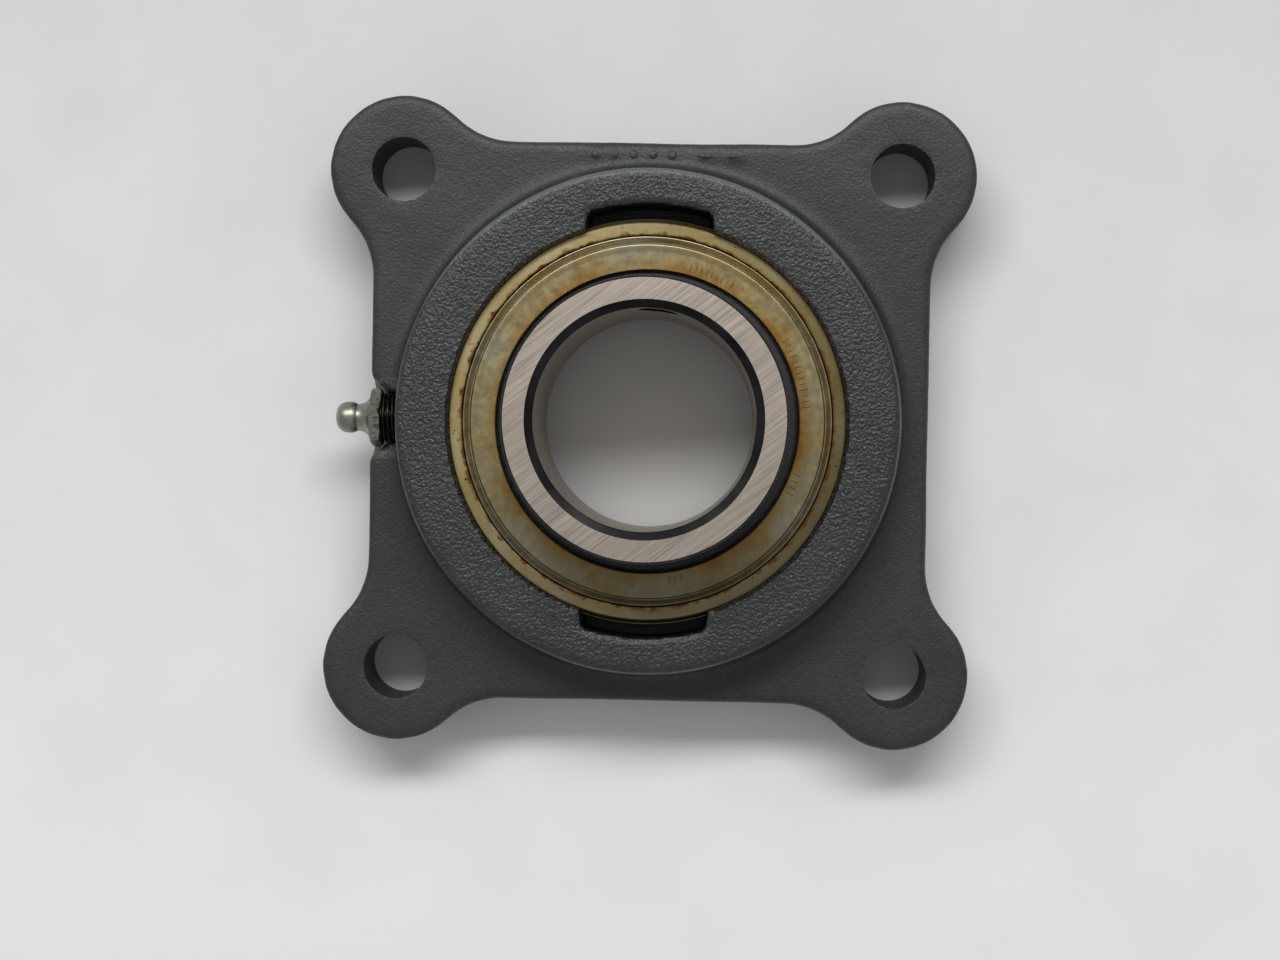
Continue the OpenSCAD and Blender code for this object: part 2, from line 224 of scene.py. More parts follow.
# Sand-cast grey iron under one coat of machine paint: dark grey skin whose sand lumps glint on top, as painted
# highlights on the lump tops; a painted highlight along the boss's rim and painted shade deep in the loading slots
def castPaintMaterial(look):
    material, tree, shader, place = newMaterial("machinePaintOnSandCastIron", **{"IOR": 1.5})
    bare = addNode(tree, "ShaderNodeAttribute", attribute_name="finish").outputs["Fac"]
    sides = addNode(tree, "ShaderNodeSeparateXYZ", {"Vector": place})
    height = sides.outputs["Z"]
    raised = addNode(tree, "ShaderNodeMapRange",
            {"Value": height, "From Min": look["flangeTop"] * mm, "From Max": housingHigh.z, "To Min": 0.3,
            "To Max": 0.95})
    patches = addNode(tree, "ShaderNodeTexNoise",
            {"Vector": place, "Scale": perMillimetre(19), "Detail": 4.0})
    lumps = addNode(tree, "ShaderNodeTexNoise",
            {"Vector": place, "Scale": perMillimetre(0.64), "Detail": 2.0})
    grit = addNode(tree, "ShaderNodeTexNoise", {"Vector": place, "Scale": perMillimetre(0.5), "Detail": 2.0})
    paint = addNode(tree, "ShaderNodeValToRGB", {"Fac": patches.outputs["Fac"]},
            [(0.3, "#232525"), (0.55, "#282a2a"), (0.75, "#2d2f2f")])
    # painted highlight: the colour is lifted on the tops of the sand lumps, as glints
    lumpGlint = addNode(tree, "ShaderNodeMapRange",
            {"Value": lumps.outputs["Fac"], "From Min": 0.34, "From Max": 0.7, "To Min": 0.76,
            "To Max": 1.26})
    shaded = addNode(tree, "ShaderNodeVectorMath",
            {0: paint.outputs["Color"], "Scale": lumpGlint.outputs["Result"]}, operation="SCALE")
    radius = radiusFrom(tree, place, (0, 0, 0), (1, 1, 0))
    # painted highlight: a pale line along the boss's rim, made wider towards the top, where the light falls
    offset = addNode(tree, "ShaderNodeMath", {0: radius, 1: look["bossRadius"] * mm}, operation="SUBTRACT")
    upper = addNode(tree, "ShaderNodeMapRange",
            {"Value": sides.outputs["Y"], "From Min": 22 * mm, "From Max": 42 * mm, "To Max": 0.9 * mm})
    away = addNode(tree, "ShaderNodeMath", {0: offset.outputs[0]}, operation="ABSOLUTE")
    wider = addNode(tree, "ShaderNodeMath", {0: away.outputs[0], 1: upper.outputs["Result"]},
            operation="SUBTRACT")
    line = addNode(tree, "ShaderNodeMapRange",
            {"Value": wider.outputs[0], "From Min": 0.1 * mm, "From Max": 0.42 * mm, "To Min": 0.28,
            "To Max": 0.0})
    onTop = addNode(tree, "ShaderNodeMapRange",
            {"Value": height, "From Min": housingHigh.z - 1.6 * mm, "From Max": housingHigh.z - 0.6 * mm})
    wearAndHighlight = addNode(tree, "ShaderNodeMath", {0: line.outputs["Result"], 1: onTop.outputs["Result"]},
            operation="MULTIPLY")
    # mixes the painted rim highlight into the paint colour
    rimHighlighted = addNode(tree, "ShaderNodeMix", {0: wearAndHighlight.outputs[0], 6: shaded.outputs[0],
            7: hexLinear("#8b9196")}, data_type="RGBA")
    iron = addNode(tree, "ShaderNodeValToRGB", {"Fac": grit.outputs["Fac"]},
            [(0.35, "#4a4640"), (0.7, "#77726a")])
    # painted shade: the slot walls below the boss's top face are made near black, as shade deep in the slots
    inSlot = addNode(tree, "ShaderNodeMapRange",
            {"Value": radius, "From Min": look["slot"][2] * mm + 0.2 * mm,
            "From Max": look["slot"][2] * mm + 1.2 * mm, "To Min": 0.85, "To Max": 0.0})
    below = addNode(tree, "ShaderNodeMapRange",
            {"Value": height, "From Min": housingHigh.z - 1.6 * mm, "From Max": housingHigh.z - 0.4 * mm,
            "To Min": 1.0, "To Max": 0.0})
    slotShadeMask = addNode(tree, "ShaderNodeMath", {0: inSlot.outputs["Result"], 1: below.outputs["Result"]},
            operation="MULTIPLY")
    slotShaded = addNode(tree, "ShaderNodeMix", {0: slotShadeMask.outputs[0], 6: rimHighlighted.outputs[2],
            7: hexLinear("#070707")}, data_type="RGBA")
    colour = addNode(tree, "ShaderNodeMix", {0: bare, 6: slotShaded.outputs[2], 7: iron.outputs["Color"]},
            data_type="RGBA")
    tree.links.new(colour.outputs[2], shader.inputs["Base Color"])
    tree.links.new(bare, shader.inputs["Metallic"])
    gloss = addNode(tree, "ShaderNodeMapRange",
            {"Value": grit.outputs["Fac"], "From Min": 0.3, "From Max": 0.7, "To Min": 0.5, "To Max": 0.64})
    smooth = addNode(tree, "ShaderNodeMath", {0: raised.outputs["Result"], 1: -0.22,
            2: gloss.outputs["Result"]}, operation="MULTIPLY_ADD")
    tree.links.new(smooth.outputs[0], shader.inputs["Roughness"])
    painted = addNode(tree, "ShaderNodeMath", {0: raised.outputs["Result"], 1: bare}, operation="SUBTRACT")
    coarse = addNode(tree, "ShaderNodeBump", {"Height": lumps.outputs["Fac"], "Strength": painted.outputs[0],
            "Distance": look["lumpBump"] * mm})
    fine = addNode(tree, "ShaderNodeBump", {"Height": grit.outputs["Fac"], "Strength": 0.8,
            "Distance": look["gritBump"] * mm, "Normal": coarse.outputs["Normal"]})
    tree.links.new(fine.outputs["Normal"], shader.inputs["Normal"])
    return material


# Turned bearing steel that kept its straw temper film: golden, browner in stains, faint turned rings, with painted
# light: lighter towards the upper left, darker towards the lower right
def strawSteelMaterial():
    material, tree, shader, place = newMaterial("strawTemperedSteel", **{"Metallic": 1.0})
    radius = radiusFrom(tree, place, (0, 0, 0), (1, 1, 0))
    rings = addNode(tree, "ShaderNodeTexNoise", {"W": radius, "Scale": perMillimetre(0.3), "Detail": 2.0},
            noise_dimensions="1D")
    film = addNode(tree, "ShaderNodeTexNoise",
            {"Vector": place, "Scale": perMillimetre(14), "Detail": 4.0, "Roughness": 0.6})
    stain = addNode(tree, "ShaderNodeTexNoise",
            {"Vector": place, "Scale": perMillimetre(3.2), "Detail": 5.0, "Roughness": 0.7})
    base = addNode(tree, "ShaderNodeValToRGB", {"Fac": film.outputs["Fac"]},
            [(0.3, "#827248"), (0.5, "#8c805c"), (0.72, "#958c72")])
    seam = addNode(tree, "ShaderNodeMapRange",
            {"Value": radius, "From Min": capHigh.x + 0.1 * mm, "From Max": capHigh.x + 1.1 * mm,
            "To Min": 0.2, "To Max": 0.0})
    rusty = addNode(tree, "ShaderNodeMath", {0: stain.outputs["Fac"], 1: seam.outputs["Result"]},
            operation="ADD")
    spots = addNode(tree, "ShaderNodeMapRange",
            {"Value": rusty.outputs[0], "From Min": 0.6, "From Max": 0.74})
    speck = addNode(tree, "ShaderNodeTexNoise", {"Vector": place, "Scale": perMillimetre(1.1), "Detail": 1.0})
    black = addNode(tree, "ShaderNodeMapRange",
            {"Value": speck.outputs["Fac"], "From Min": 0.76, "From Max": 0.79})
    # painted highlight and shade: the colour is lifted towards the upper left and lowered towards the lower right
    side = addNode(tree, "ShaderNodeVectorMath", {0: place, 1: (0.9, -0.4, 0)}, operation="DOT_PRODUCT")
    paintedSideLight = addNode(tree, "ShaderNodeMapRange",
            {"Value": side.outputs["Value"], "From Min": -40 * mm, "From Max": 40 * mm, "To Min": 1.55,
            "To Max": 0.6})
    sideLitBase = addNode(tree, "ShaderNodeVectorMath",
            {0: base.outputs["Color"], "Scale": paintedSideLight.outputs["Result"]}, operation="SCALE")
    stained = addNode(tree, "ShaderNodeMix", {0: spots.outputs["Result"], 6: sideLitBase.outputs[0],
            7: hexLinear("#5f3f1a")}, data_type="RGBA")
    colour = addNode(tree, "ShaderNodeMix", {0: black.outputs["Result"], 6: stained.outputs[2],
            7: hexLinear("#14110c")}, data_type="RGBA")
    tree.links.new(colour.outputs[2], shader.inputs["Base Color"])
    gloss = addNode(tree, "ShaderNodeMapRange",
            {"Value": stain.outputs["Fac"], "From Min": 0.3, "From Max": 0.7, "To Min": 0.36,
            "To Max": 0.52})
    tree.links.new(gloss.outputs["Result"], shader.inputs["Roughness"])
    turned = addNode(tree, "ShaderNodeBump", {"Height": rings.outputs["Fac"], "Strength": 0.5,
            "Distance": 0.012 * mm})
    tree.links.new(turned.outputs["Normal"], shader.inputs["Normal"])
    return material


# Cold-rolled strip pressed into a cap under a thin yellow-brown oil film: satin, browner at the edges; painted
# light makes it brighter towards the top and painted shade darkens the hollow beside the bead
def pressedSteelMaterial():
    material, tree, shader, place = newMaterial("oiledPressedSteel", **{"Metallic": 1.0})
    radius = radiusFrom(tree, place, (0, 0, 0), (1, 1, 0))
    film = addNode(tree, "ShaderNodeTexNoise",
            {"Vector": place, "Scale": perMillimetre(18), "Detail": 5.0, "Roughness": 0.62})
    mottle = addNode(tree, "ShaderNodeTexNoise",
            {"Vector": place, "Scale": perMillimetre(2.0), "Detail": 4.0, "Roughness": 0.7})
    edge = addNode(tree, "ShaderNodeMapRange",
            {"Value": radius, "From Min": capHigh.x - 6.9 * mm, "From Max": capHigh.x - 3.6 * mm,
            "To Min": 0.22, "To Max": 0.0})
    amount = addNode(tree, "ShaderNodeMath", {0: film.outputs["Fac"], 1: edge.outputs["Result"]},
            operation="SUBTRACT")
    base = addNode(tree, "ShaderNodeValToRGB", {"Fac": amount.outputs[0]},
            [(0.18, "#714f1e"), (0.36, "#7b6a44"), (0.55, "#807960"), (0.75, "#878272")])
    fleck = addNode(tree, "ShaderNodeMapRange",
            {"Value": mottle.outputs["Fac"], "From Min": 0.35, "From Max": 0.7, "To Min": 0.86,
            "To Max": 1.1})
    flecked = addNode(tree, "ShaderNodeVectorMath",
            {0: base.outputs["Color"], "Scale": fleck.outputs["Result"]}, operation="SCALE")
    along = addNode(tree, "ShaderNodeSeparateXYZ", {"Vector": place})
    # painted light: the cap is made brighter towards the top and darker towards the bottom
    paintedTopLight = addNode(tree, "ShaderNodeMapRange",
            {"Value": along.outputs["Y"], "From Min": -34 * mm, "From Max": -4 * mm, "To Min": 0.95,
            "To Max": 1.7})
    # painted shade: a darker band in the hollow beside the bead
    trough = addNode(tree, "ShaderNodeMath", {0: radius, 1: capHigh.x - 0.95 * mm, 2: 0.5 * mm},
            operation="COMPARE")
    hollowShade = addNode(tree, "ShaderNodeMath", {0: trough.outputs[0], 1: -0.5, 2: 1.0}, operation="MULTIPLY_ADD")
    shade = addNode(tree, "ShaderNodeMath", {0: paintedTopLight.outputs["Result"], 1: hollowShade.outputs[0]},
            operation="MULTIPLY")
    colour = addNode(tree, "ShaderNodeVectorMath", {0: flecked.outputs[0], "Scale": shade.outputs[0]},
            operation="SCALE")
    tree.links.new(colour.outputs[0], shader.inputs["Base Color"])
    gloss = addNode(tree, "ShaderNodeMapRange",
            {"Value": mottle.outputs["Fac"], "From Min": 0.3, "From Max": 0.7, "To Min": 0.3,
            "To Max": 0.42})
    tree.links.new(gloss.outputs["Result"], shader.inputs["Roughness"])
    skin = addNode(tree, "ShaderNodeBump", {"Height": mottle.outputs["Fac"], "Strength": 0.4,
            "Distance": 0.02 * mm})
    tree.links.new(skin.outputs["Normal"], shader.inputs["Normal"])
    return material


# Bearing steel, ground bright where it works and left black from hardening on its bevels
def groundSteelMaterial():
    material, tree, shader, place = newMaterial("groundBearingSteel", **{"Metallic": 1.0})
    given = addNode(tree, "ShaderNodeAttribute", attribute_name="finish")
    finish = given.outputs["Fac"]  # 0 black, 0.5 honed, 1 ground
    turned = addNode(tree, "ShaderNodeMapping", {"Vector": place, "Rotation": (0, 0, math.radians(-38))})
    strokes = addNode(tree, "ShaderNodeMapping",
            {"Vector": turned.outputs["Vector"],
            "Scale": (perMillimetre(18), perMillimetre(0.38), perMillimetre(9))})
    lines = addNode(tree, "ShaderNodeTexNoise",
            {"Vector": strokes.outputs["Vector"], "Scale": 1.0, "Detail": 3.0, "Roughness": 0.6})
    blotch = addNode(tree, "ShaderNodeTexNoise", {"Vector": place, "Scale": perMillimetre(9), "Detail": 2.0})
    bright = addNode(tree, "ShaderNodeValToRGB", {"Fac": lines.outputs["Fac"]},
            [(0.3, "#a2988c"), (0.5, "#b0a599"), (0.7, "#bbb1a5")])
    # random blotches of wear in the ground faces
    wearAndHighlight = addNode(tree, "ShaderNodeMapRange",
            {"Value": blotch.outputs["Fac"], "From Min": 0.3, "From Max": 0.7, "To Min": 0.92,
            "To Max": 1.05})
    ground = addNode(tree, "ShaderNodeVectorMath",
            {0: bright.outputs["Color"], "Scale": wearAndHighlight.outputs["Result"]}, operation="SCALE")
    black = addNode(tree, "ShaderNodeValToRGB", {"Fac": blotch.outputs["Fac"]},
            [(0.35, "#232324"), (0.7, "#3a3a3b")])
    share = addNode(tree, "ShaderNodeMapRange", {"Value": finish, "From Min": 0.6, "From Max": 0.9})
    worked = addNode(tree, "ShaderNodeMix", {0: share.outputs["Result"], 6: black.outputs["Color"],
            7: ground.outputs[0]}, data_type="RGBA")
    honed = addNode(tree, "ShaderNodeMath", {0: finish, 1: 0.5, 2: 0.1}, operation="COMPARE")
    colour = addNode(tree, "ShaderNodeMix", {0: honed.outputs[0], 6: worked.outputs[2],
            7: hexLinear("#a39c91")}, data_type="RGBA")
    tree.links.new(colour.outputs[2], shader.inputs["Base Color"])
    gloss = addNode(tree, "ShaderNodeMapRange",
            {"Value": lines.outputs["Fac"], "From Min": 0.3, "From Max": 0.7, "To Min": 0.36, "To Max": 0.5})
    tree.links.new(gloss.outputs["Result"], shader.inputs["Roughness"])
    film = addNode(tree, "ShaderNodeMath", {0: honed.outputs[0], 1: -0.3, 2: 1.0}, operation="MULTIPLY_ADD")
    tree.links.new(film.outputs[0], shader.inputs["Metallic"])
    scratch = addNode(tree, "ShaderNodeBump",
            {"Height": lines.outputs["Fac"], "Strength": share.outputs["Result"], "Distance": 0.012 * mm})
    tree.links.new(scratch.outputs["Normal"], shader.inputs["Normal"])
    return material


# Nitrile rubber, moulded: black with a grey bloom and a soft sheen
def rubberMaterial():
    material, tree, shader, place = newMaterial("mouldedNitrileRubber", **{"IOR": 1.52})
    bloom = addNode(tree, "ShaderNodeTexNoise", {"Vector": place, "Scale": perMillimetre(1.4), "Detail": 4.0})
    base = addNode(tree, "ShaderNodeValToRGB", {"Fac": bloom.outputs["Fac"]},
            [(0.35, "#0f0f11"), (0.7, "#222226")])
    tree.links.new(base.outputs["Color"], shader.inputs["Base Color"])
    gloss = addNode(tree, "ShaderNodeMapRange",
            {"Value": bloom.outputs["Fac"], "To Min": 0.5, "To Max": 0.75})
    tree.links.new(gloss.outputs["Result"], shader.inputs["Roughness"])
    skin = addNode(tree, "ShaderNodeBump", {"Height": bloom.outputs["Fac"], "Strength": 0.5,
            "Distance": 0.03 * mm})
    tree.links.new(skin.outputs["Normal"], shader.inputs["Normal"])
    return material


# Screw-machine steel with dull zinc plate: pale grey-green, cloudy, grime in its low parts, and painted shade on
# the threads next to the housing
def zincMaterial():
    material, tree, shader, place = newMaterial("dullZincPlatedSteel", **{"Metallic": 1.0})
    cloud = addNode(tree, "ShaderNodeTexNoise",
            {"Vector": place, "Scale": perMillimetre(2.4), "Detail": 5.0, "Roughness": 0.65})
    grime = addNode(tree, "ShaderNodeTexNoise",
            {"Vector": place, "Scale": perMillimetre(0.7), "Detail": 4.0, "Roughness": 0.7})
    along = addNode(tree, "ShaderNodeSeparateXYZ", {"Vector": place})
    near = addNode(tree, "ShaderNodeMapRange",
            {"Value": along.outputs["X"], "From Min": fittingLow.x + 6.5 * mm,
            "From Max": fittingLow.x + 9 * mm, "To Min": 0.0, "To Max": 0.16})
    base = addNode(tree, "ShaderNodeValToRGB", {"Fac": cloud.outputs["Fac"]},
            [(0.3, "#84857a"), (0.7, "#a3a498")])
    dirt = addNode(tree, "ShaderNodeMath", {0: grime.outputs["Fac"], 1: near.outputs["Result"]},
            operation="ADD")
    cover = addNode(tree, "ShaderNodeMapRange", {"Value": dirt.outputs[0], "From Min": 0.62, "From Max": 0.8})
    colour = addNode(tree, "ShaderNodeMix", {0: cover.outputs["Result"], 6: base.outputs["Color"],
            7: hexLinear("#4a4332")}, data_type="RGBA")
    # painted shade: the threads between the hexagon and the housing are darkened nearly to black
    threadShade = addNode(tree, "ShaderNodeMapRange",
            {"Value": along.outputs["X"], "From Min": fittingLow.x + 9.7 * mm,
            "From Max": fittingLow.x + 9.9 * mm, "To Min": 0.0, "To Max": 0.88})
    dark = addNode(tree, "ShaderNodeMix", {0: threadShade.outputs["Result"], 6: colour.outputs[2],
            7: hexLinear("#14130f")}, data_type="RGBA")
    tree.links.new(dark.outputs[2], shader.inputs["Base Color"])
    gloss = addNode(tree, "ShaderNodeMapRange",
            {"Value": grime.outputs["Fac"], "From Min": 0.3, "From Max": 0.7, "To Min": 0.28, "To Max": 0.5})
    tree.links.new(gloss.outputs["Result"], shader.inputs["Roughness"])
    skin = addNode(tree, "ShaderNodeBump", {"Height": cloud.outputs["Fac"], "Strength": 0.4,
            "Distance": 0.04 * mm})
    tree.links.new(skin.outputs["Normal"], shader.inputs["Normal"])
    return material


# Alloy steel with black oxide: near black, with a little blue and a dry satin gloss
def blackOxideMaterial():
    material, tree, shader, place = newMaterial("blackOxideSteel", **{"Metallic": 0.85})
    wear = addNode(tree, "ShaderNodeTexNoise",
            {"Vector": place, "Scale": perMillimetre(0.9), "Detail": 4.0, "Roughness": 0.65})
    base = addNode(tree, "ShaderNodeValToRGB", {"Fac": wear.outputs["Fac"]},
            [(0.35, "#17181a"), (0.62, "#26272a"), (0.8, "#4a4a4a")])
    tree.links.new(base.outputs["Color"], shader.inputs["Base Color"])
    gloss = addNode(tree, "ShaderNodeMapRange", {"Value": wear.outputs["Fac"], "To Min": 0.3, "To Max": 0.55})
    tree.links.new(gloss.outputs["Result"], shader.inputs["Roughness"])
    return material


# Through-hardened balls, lapped to a mirror: clear reflections with a trace of grease
def lappedBallMaterial():
    material, tree, shader, place = newMaterial("lappedBallSteel", **{"Metallic": 1.0})
    grease = addNode(tree, "ShaderNodeTexNoise", {"Vector": place, "Scale": perMillimetre(5), "Detail": 4.0})
    base = addNode(tree, "ShaderNodeValToRGB", {"Fac": grease.outputs["Fac"]},
            [(0.35, "#b8b7b2"), (0.65, "#d2d2d0")])
    tree.links.new(base.outputs["Color"], shader.inputs["Base Color"])
    gloss = addNode(tree, "ShaderNodeMapRange",
            {"Value": grease.outputs["Fac"], "From Min": 0.4, "From Max": 0.7, "To Min": 0.08,
            "To Max": 0.22})
    tree.links.new(gloss.outputs["Result"], shader.inputs["Roughness"])
    return material


# Natural nylon, injection moulded: warm ivory that lets some light in
def nylonMaterial():
    material, tree, shader, place = newMaterial("mouldedNaturalNylon",
            **{"IOR": 1.53, "Subsurface Weight": 0.2, "Subsurface Radius": (0.002, 0.0015, 0.001)})
    flow = addNode(tree, "ShaderNodeTexNoise", {"Vector": place, "Scale": perMillimetre(7), "Detail": 3.0})
    base = addNode(tree, "ShaderNodeValToRGB", {"Fac": flow.outputs["Fac"]},
            [(0.3, "#cdbf9a"), (0.7, "#ded3b4")])
    tree.links.new(base.outputs["Color"], shader.inputs["Base Color"])
    gloss = addNode(tree, "ShaderNodeMapRange",
            {"Value": flow.outputs["Fac"], "To Min": 0.38, "To Max": 0.55})
    tree.links.new(gloss.outputs["Result"], shader.inputs["Roughness"])
    return material


# Drawn spring wire: bright, with fine lengthwise shade changes
def springWireMaterial():
    material, tree, shader, place = newMaterial("drawnSpringWire", **{"Metallic": 1.0})
    drawn = addNode(tree, "ShaderNodeTexNoise", {"Vector": place, "Scale": perMillimetre(0.4), "Detail": 3.0})
    base = addNode(tree, "ShaderNodeValToRGB", {"Fac": drawn.outputs["Fac"]},
            [(0.3, "#85858a"), (0.7, "#b4b4b6")])
    tree.links.new(base.outputs["Color"], shader.inputs["Base Color"])
    gloss = addNode(tree, "ShaderNodeMapRange", {"Value": drawn.outputs["Fac"], "To Min": 0.2, "To Max": 0.4})
    tree.links.new(gloss.outputs["Result"], shader.inputs["Roughness"])
    return material


# Electro-etched strokes: a thin brown-grey stain in the steel, dull and slightly broken
def etchedMarkMaterial():
    material, tree, shader, place = newMaterial("electroEtchedStain", **{"Metallic": 0.6, "Roughness": 0.6})
    broken = addNode(tree, "ShaderNodeTexNoise",
            {"Vector": place, "Scale": perMillimetre(0.6), "Detail": 3.0})
    base = addNode(tree, "ShaderNodeValToRGB", {"Fac": broken.outputs["Fac"]},
            [(0.35, "#221f14"), (0.7, "#453f2a")])
    tree.links.new(base.outputs["Color"], shader.inputs["Base Color"])
    return material


strawSteel = strawSteelMaterial()
etchedMark = etchedMarkMaterial()
pressedSteel = pressedSteelMaterial()
groundSteel = groundSteelMaterial()
rubber = rubberMaterial()
zinc = zincMaterial()
blackOxide = blackOxideMaterial()
lappedBall = lappedBallMaterial()
nylon = nylonMaterial()
springWire = springWireMaterial()
print("materials made:", len(bpy.data.materials))


# Millimetres, except the number of passes
housingLook = {
    "voxel": 0.74,        # mesh spacing of the casting
    "softening": 8,       # passes that round its cast edges
    "rounding": (0.05, 0.2, 0.6),    # how freely points move: round the slots, the boss's rim, elsewhere
    "rimReach": 1.4,      # how far the boss's rim counts
    "slotArea": (15.5, 37, 46.5),    # where the slots' edges count: half width, start, reach
    "skinSink": 0.04,     # how far the skin is let in, so that its lumps stay inside the size
    "lumpSize": 2.2,      # width and height of the sand lumps
    "lumpHeight": 0.035,
    "waveSize": 15,       # and of the slow unevenness of the skin
    "waveHeight": 0.16,
    "lumpBump": 0.34,     # height of the fine lumps and grit in the paint
    "gritBump": 0.1,
    "near": 0.4,          # how near the wall of an opening a point has to lie to belong to it
    "stock": 0.5,         # iron left in the openings for the cutters, and under the back
    "backStock": 2.0,
    "flangeTop": 15.9,
    "bossRadius": 52.1,
    "seatRadius": 42.56,
    "mouth": (27.07, 41.73),  # bevel at the seat's mouth: height of its inner edge, outer radius
    "slot": (36.5, 13.75, 44.65, 12.25),  # loading slots: start, half width there, reach, half width there
    "spotFace": 56.9,     # the fitting's spot face, from the bore's axis, and its radius
    "spotRadius": 8.3,
}
castPaint = castPaintMaterial(housingLook)


def smoothed(points, edges, free, passes):
    neighbours = np.bincount(edges.ravel(), minlength=len(points))[:, None]
    for _ in range(passes):
        total = np.zeros_like(points)
        np.add.at(total, edges[:, 0], points[edges[:, 1]])
        np.add.at(total, edges[:, 1], points[edges[:, 0]])
        points = points + (total / neighbours - points) * free
    return points


def openingCutters(look):  # seat with its bevelled mouth, two loading slots and four bolt holes
    middle, top = centreHeight / mm, housingHigh.z / mm
    mouthHeight, outerMouth = look["mouth"]
    low = math.degrees(math.asin((-middle - 1) / look["seatRadius"]))
    high = math.degrees(math.asin((mouthHeight - middle) / look["seatRadius"]))
    outline = [(0, -middle - 1)] + arcPoints((0, 0), look["seatRadius"], low, high, 24)
    outline += [(outerMouth, top - middle), (outerMouth + 1, top - middle + 1), (0, top - middle + 1)]
    cutters = [lathe("seatCutter", outline, 288)]
    start, startHalf, reach, reachHalf = look["slot"]
    rim = [(reach * math.sin(a), reach * math.cos(a)) for a in np.linspace(-1, 1,
            25) * math.asin(reachHalf / reach)]
    for side in (-1, 1):
        corners = [(-startHalf, start)] + rim + [(startHalf, start)]
        corners = [(x * side, y * side) for x, y in corners]
        count = len(corners)
        verts = [Vector((x, y, z)) * mm for z in (middle, top + 1) for x, y in corners]
        faces = [tuple(range(count)), tuple(range(count, 2 * count))[::-1]]
        faces += [(k, count + k, count + (k + 1) % count, (k + 1) % count) for k in range(count)]
        cutters.append(meshObject("slotCutter", verts, faces))
        tidyMesh(cutters[-1])
    hole, below = boltRadius / mm, look["backStock"] + 1
    cutters.append(lathe("backCutter", [(0, -below), (110, -below), (110, 0), (0, 0)], 96,
            Matrix.Identity(4)))
    for x in (-1, 1):
        for y in (-1, 1):
            place = Matrix.Translation((x * boltReach, y * boltReach, 0))
            cutters.append(lathe("holeCutter", [(0, -below), (hole, -below), (hole, top), (0, top)], 96,
                    place))
    return cutters


